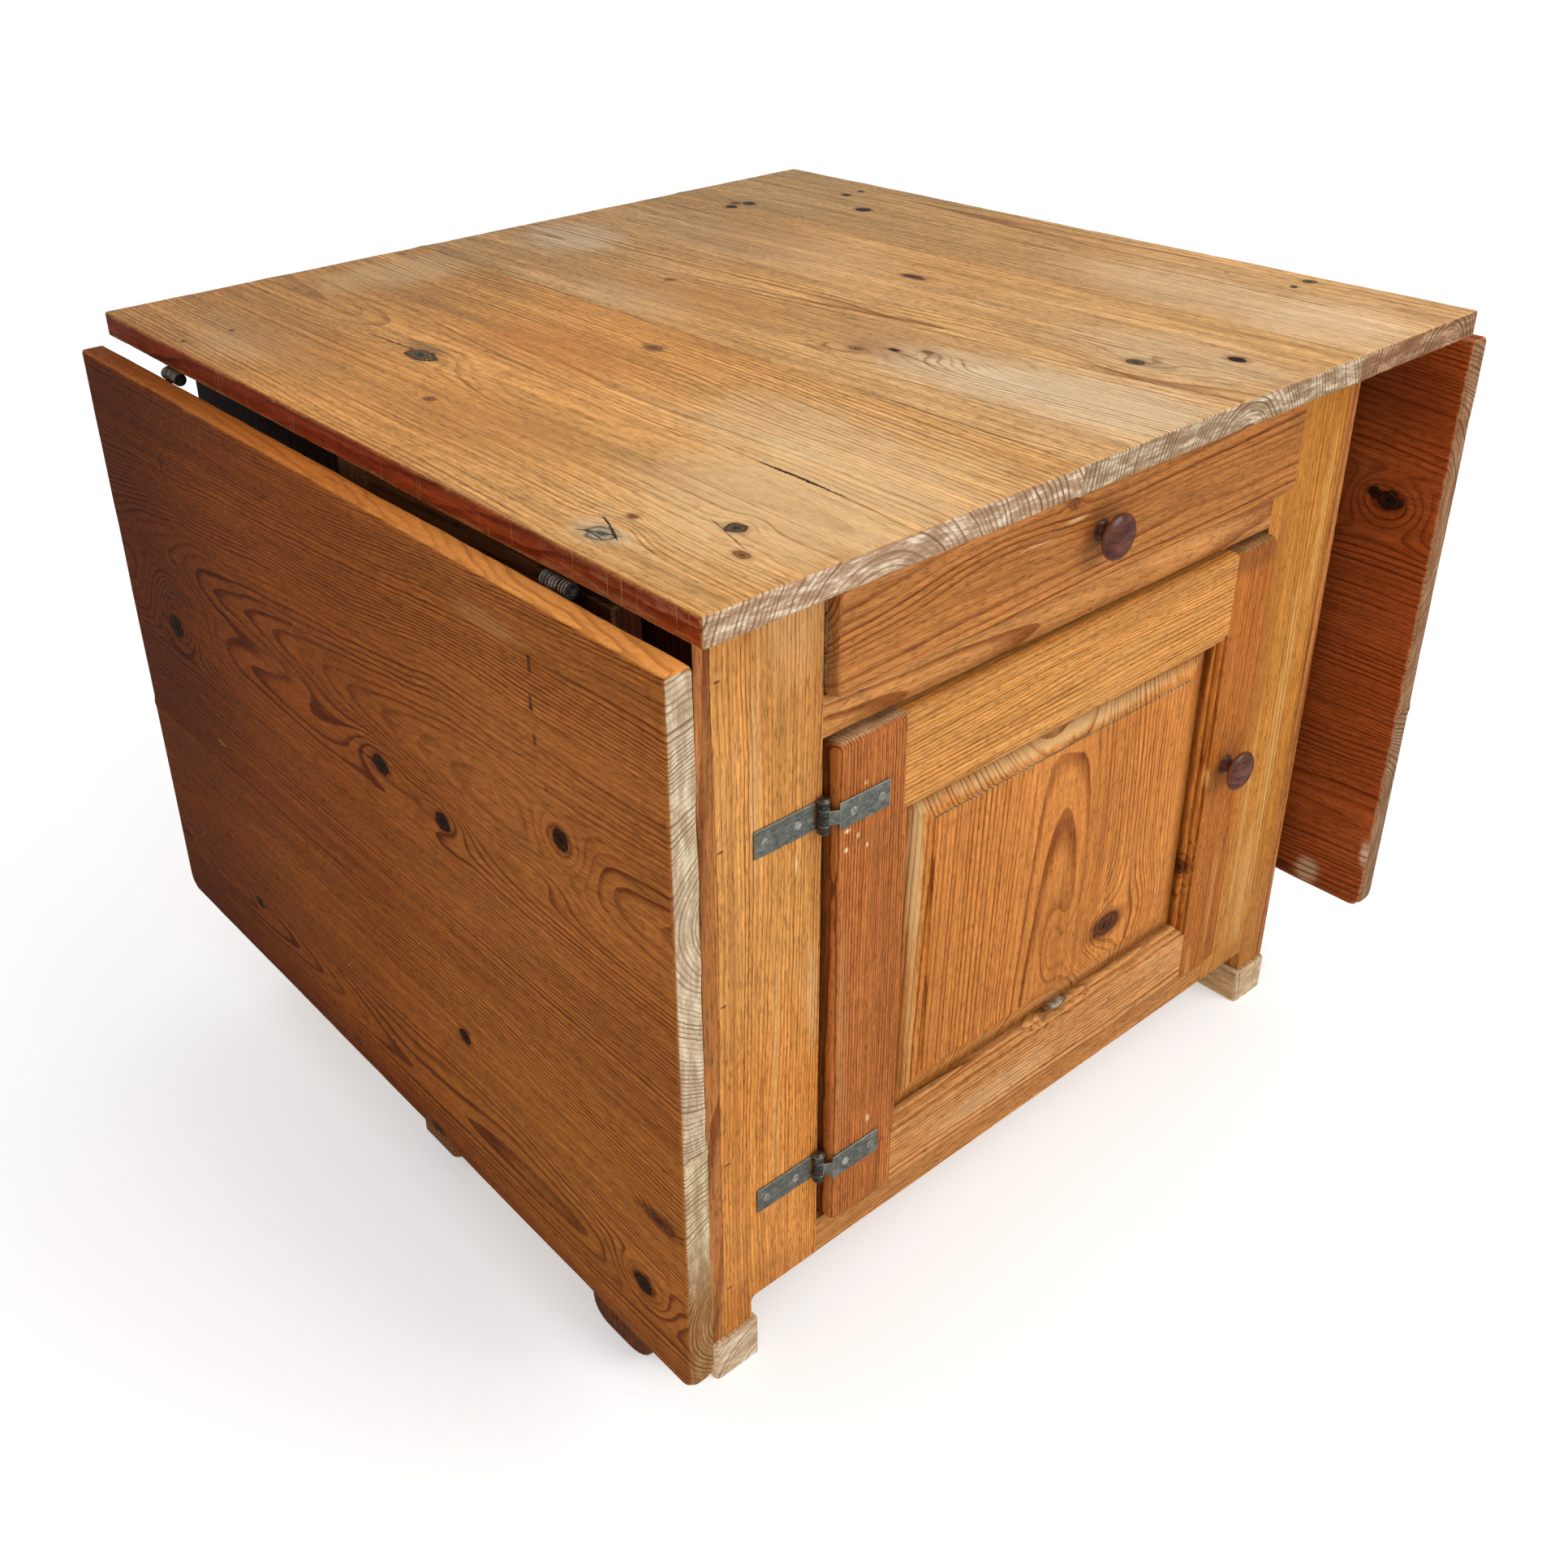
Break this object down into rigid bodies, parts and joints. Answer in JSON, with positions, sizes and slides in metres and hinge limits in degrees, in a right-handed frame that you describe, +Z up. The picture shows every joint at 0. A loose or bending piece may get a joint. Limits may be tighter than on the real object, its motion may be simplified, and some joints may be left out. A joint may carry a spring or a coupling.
{
  "type": "drop leaf table",
  "caption": "Square pine table with hinged drop leaves at both sides over a cupboard base with a drawer, a panelled door, folding gate legs and skid feet.",
  "frame": {"origin": "on the floor, under the middle of the closed table", "axes": "+X to the right when facing the door, across the leaves; +Y towards the back; +Z up"},
  "size_m": [0.939, 0.874, 0.756],
  "materials": {
    "pine_top": "worn waxed pine, pale where the finish has rubbed away",
    "pine_leaf": "browner waxed pine",
    "pine_frame": "honey waxed pine",
    "pine_door": "honey to red waxed pine",
    "pine_inner": "bare pine, darkened with age",
    "pine_foot": "newer bare pine",
    "turned_wood": "dark stained turned wood",
    "strap_iron": "grey forged iron",
    "hinge_steel": "dark oiled steel",
    "screw_steel": "worn slotted screw heads"
  },
  "bodies": {
    "carcass": {"back_board_left": "pine_inner", "back_board_right": "pine_inner", "cupboard_floor": "pine_inner", "door_hinge_lower_plate": "strap_iron", "door_hinge_pins": "strap_iron", "door_hinge_plate_screws": "screw_steel", "door_hinge_upper_plate": "strap_iron", "drawer_bearer_left": "pine_inner", "drawer_bearer_rail": "pine_inner", "drawer_bearer_right": "pine_inner", "foot_skid_left": "pine_foot", "foot_skid_right": "pine_foot", "front_rail_bottom": "pine_frame", "front_rail_middle": "pine_frame", "front_stile_left": "pine_frame", "front_stile_right": "pine_frame", "gate_pivot_block_left": "pine_inner", "gate_pivot_block_right": "pine_inner", "leaf_hinge_left_top_arms": "hinge_steel", "leaf_hinge_pins": "hinge_steel", "leaf_hinge_right_top_arms": "hinge_steel", "side_board_left": "pine_frame", "side_board_right": "pine_frame", "top_arm_screws": "screw_steel", "top_batten_back": "pine_inner", "top_batten_front": "pine_inner", "top_board_left": "pine_top", "top_board_middle": "pine_top", "top_board_right": "pine_top"},
    "door": {"door_hinge_lower_strap": "strap_iron", "door_hinge_upper_strap": "strap_iron", "door_knob": "turned_wood", "door_panel": "pine_door", "door_rail_bottom": "pine_door", "door_rail_top": "pine_door", "door_stile_left": "pine_door", "door_stile_right": "pine_door", "door_strap_screws": "screw_steel"},
    "drawer": {"drawer_back": "pine_inner", "drawer_bottom": "pine_inner", "drawer_front": "pine_frame", "drawer_knob": "turned_wood", "drawer_side_left": "pine_inner", "drawer_side_right": "pine_inner"},
    "left_gate": {"gate_left_leg": "pine_inner", "gate_left_post": "pine_inner", "gate_left_rail_bottom": "pine_inner", "gate_left_rail_top": "pine_inner"},
    "right_gate": {"gate_right_leg": "pine_inner", "gate_right_post": "pine_inner", "gate_right_rail_bottom": "pine_inner", "gate_right_rail_top": "pine_inner"},
    "left_leaf": {"left_leaf_board_lower": "pine_leaf", "left_leaf_board_upper": "pine_leaf", "left_leaf_hinge_arms": "hinge_steel", "left_leaf_screws": "screw_steel"},
    "right_leaf": {"right_leaf_board_lower": "pine_leaf", "right_leaf_board_upper": "pine_leaf", "right_leaf_hinge_arms": "hinge_steel", "right_leaf_screws": "screw_steel"}
  },
  "joints": [
    {"name": "left_leaf_hinge", "type": "hinge", "parent": "carcass", "child": "left_leaf", "pos_m": [-0.4405, 0, 0.727], "axis": [0, 1, 0], "range_deg": [0, 90]},
    {"name": "right_leaf_hinge", "type": "hinge", "parent": "carcass", "child": "right_leaf", "pos_m": [0.4405, 0, 0.727], "axis": [0, -1, 0], "range_deg": [0, 90]},
    {"name": "drawer_slide", "type": "slide", "parent": "carcass", "child": "drawer", "axis": [0, -1, 0], "range_m": [0, 0.36]},
    {"name": "door_hinge", "type": "hinge", "parent": "carcass", "child": "door", "pos_m": [-0.2785, -0.3725, 0.34], "axis": [0, 0, -1], "range_deg": [0, 130]},
    {"name": "left_gate_pivot", "type": "hinge", "parent": "carcass", "child": "left_gate", "pos_m": [-0.416, 0.0005, 0.4], "axis": [0, 0, -1], "range_deg": [0, 2.8]},
    {"name": "right_gate_pivot", "type": "hinge", "parent": "carcass", "child": "right_gate", "pos_m": [0.416, 0.0005, 0.4], "axis": [0, 0, 1], "range_deg": [0, 2.8]}
  ]
}
